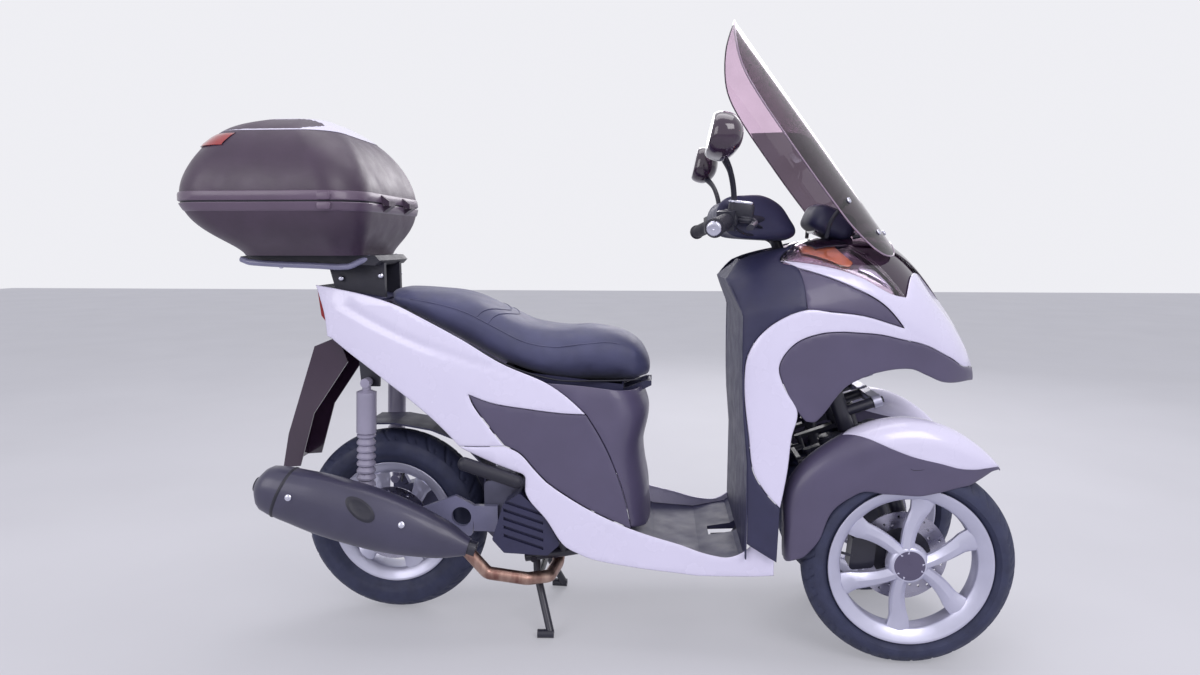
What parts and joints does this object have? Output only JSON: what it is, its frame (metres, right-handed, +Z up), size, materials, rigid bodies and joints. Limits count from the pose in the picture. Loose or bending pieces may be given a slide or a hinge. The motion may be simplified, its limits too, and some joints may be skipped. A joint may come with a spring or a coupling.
{
  "type": "leaning reverse trike scooter",
  "caption": "Leaning three-wheeled scooter with two front wheels, tall screen, step-through floor, stepped seat and top box, on its centre stand.",
  "frame": {"origin": "centre of the footprint's bounding box, on the floor", "axes": "+X forward, +Y to the rider's left, +Z up"},
  "size_m": [2.0086, 0.796, 1.552],
  "materials": {
    "frame_steel": "satin black",
    "white_panel": "gloss",
    "dark_panel": "satin",
    "navy_plastic": "matte",
    "seat_cover": "matte",
    "alloy": "painted silver",
    "engine_alloy": "cast",
    "tyre": "matte",
    "muffler": "satin",
    "pipe": "heat tinted",
    "lens": "clear",
    "red_lens": "gloss",
    "smoked": "smoked",
    "case": "satin"
  },
  "bodies": {
    "body": {"frame_tubes": "frame_steel", "engine_block": "engine_alloy", "transmission_case": "engine_alloy", "radiator_cover": "navy_plastic", "swingarm": "alloy", "exhaust_pipe": "pipe", "muffler": "muffler", "rear_shocks": "frame_steel", "lower_cowl": "dark_panel", "headlamp": "lens", "front_cowl": "dark_panel", "front_lamps": "lens", "cowl_inserts": "dark_panel", "side_bands": "white_panel", "leg_shield": "navy_plastic", "leg_shield_wall": "navy_plastic", "peg_brackets": "frame_steel", "tail_panels": "white_panel", "side_skirts": "white_panel", "side_covers": "dark_panel", "seat_front_cover": "dark_panel", "footboard": "navy_plastic", "seat_bin": "navy_plastic", "tail_cover": "navy_plastic", "tail_lamp": "red_lens", "rear_fender": "dark_panel", "rear_hugger": "navy_plastic", "top_box_carrier": "frame_steel", "top_box_base": "case", "windscreen": "smoked", "instrument_panel": "navy_plastic"},
    "seat": {"seat": "seat_cover"},
    "lid": {"top_box_lid": "case"},
    "steering": {"handlebar": "frame_steel", "bar_cover": "navy_plastic", "mirrors": "dark_panel"},
    "track_stud": {"track_stud": "frame_steel"},
    "track_rod": {"track_rod": "frame_steel"},
    "upper_arm": {"upper_arm": "alloy"},
    "lower_arm": {"lower_arm": "alloy"},
    "rear_wheel": {"rear_rim": "alloy", "rear_tyre": "tyre"},
    "centre_stand": {"centre_stand": "frame_steel"},
    "side_stand": {"side_stand": "frame_steel"},
    "side_rod_right": {"side_rod_right": "frame_steel"},
    "fork_right": {"fork_right": "frame_steel", "fender_right": "dark_panel"},
    "front_wheel_right": {"front_rim_right": "alloy", "front_tyre_right": "tyre"},
    "side_rod_left": {"side_rod_left": "frame_steel"},
    "fork_left": {"fork_left": "frame_steel", "fender_left": "dark_panel"},
    "front_wheel_left": {"front_rim_left": "alloy", "front_tyre_left": "tyre"}
  },
  "joints": [
    {"name": "steer", "type": "hinge", "parent": "body", "child": "steering", "pos_m": [0.60312, 0, 0.6], "axis": [-0.342, 0, 0.9397], "range_deg": [-35, 35]},
    {"name": "stud_turn", "type": "hinge", "parent": "steering", "child": "track_stud", "pos_m": [0.50445, 0, 0.56409], "axis": [-0.342, 0, 0.9397], "range_deg": [-35, 35]},
    {"name": "track_rod_lean", "type": "hinge", "parent": "track_stud", "child": "track_rod", "pos_m": [0.6339, 0, 0.51543], "axis": [0.9397, 0, 0.342], "range_deg": [-63.5, 63.5]},
    {"name": "lean", "type": "hinge", "parent": "body", "child": "upper_arm", "pos_m": [0.65264, 0, 0.69784], "axis": [0.9397, 0, 0.342], "range_deg": [-63.5, 63.5]},
    {"name": "lower_arm_lean", "type": "hinge", "parent": "body", "child": "lower_arm", "pos_m": [0.68034, 0, 0.62172], "axis": [0.9397, 0, 0.342], "range_deg": [-63.5, 63.5]},
    {"name": "side_rod_right_lean", "type": "hinge", "parent": "upper_arm", "child": "side_rod_right", "pos_m": [0.65264, -0.115, 0.69784], "axis": [0.9397, 0, 0.342], "range_deg": [-63.5, 63.5]},
    {"name": "fork_right_steer", "type": "hinge", "parent": "side_rod_right", "child": "fork_right", "pos_m": [0.60312, -0.115, 0.6], "axis": [-0.342, 0, 0.9397], "range_deg": [-35, 35]},
    {"name": "front_wheel_right_turn", "type": "hinge", "parent": "fork_right", "child": "front_wheel_right", "pos_m": [0.7535, -0.1925, 0.25], "axis": [0, 1, 0], "continuous": true},
    {"name": "side_rod_left_lean", "type": "hinge", "parent": "upper_arm", "child": "side_rod_left", "pos_m": [0.65264, 0.115, 0.69784], "axis": [0.9397, 0, 0.342], "range_deg": [-63.5, 63.5]},
    {"name": "fork_left_steer", "type": "hinge", "parent": "side_rod_left", "child": "fork_left", "pos_m": [0.60312, 0.115, 0.6], "axis": [-0.342, 0, 0.9397], "range_deg": [-35, 35]},
    {"name": "front_wheel_left_turn", "type": "hinge", "parent": "fork_left", "child": "front_wheel_left", "pos_m": [0.7535, 0.1925, 0.25], "axis": [0, 1, 0], "continuous": true},
    {"name": "rear_wheel_turn", "type": "hinge", "parent": "body", "child": "rear_wheel", "pos_m": [-0.5565, 0, 0.2565], "axis": [0, 1, 0], "continuous": true},
    {"name": "centre_stand_fold", "type": "hinge", "parent": "body", "child": "centre_stand", "pos_m": [-0.1615, 0, 0.195], "axis": [0, 1, 0], "range_deg": [0, 80]},
    {"name": "side_stand_swing", "type": "hinge", "parent": "body", "child": "side_stand", "pos_m": [-0.0865, 0.178, 0.205], "axis": [0, -1, 0], "range_deg": [0, 95]},
    {"name": "seat_lift", "type": "hinge", "parent": "body", "child": "seat", "pos_m": [0.1335, 0, 0.65], "axis": [0, 1, 0], "range_deg": [0, 62]},
    {"name": "lid_lift", "type": "hinge", "parent": "body", "child": "lid", "pos_m": [-0.5205, 0, 1.106], "axis": [0, 1, 0], "range_deg": [0, 90]}
  ],
  "couplings": [
    {"joint": "stud_turn", "follows": "steer", "ratio": -1},
    {"joint": "track_rod_lean", "follows": "lean", "ratio": 1},
    {"joint": "lower_arm_lean", "follows": "lean", "ratio": 1},
    {"joint": "side_rod_right_lean", "follows": "lean", "ratio": -1},
    {"joint": "fork_right_steer", "follows": "steer", "ratio": 1},
    {"joint": "side_rod_left_lean", "follows": "lean", "ratio": -1},
    {"joint": "fork_left_steer", "follows": "steer", "ratio": 1}
  ]
}
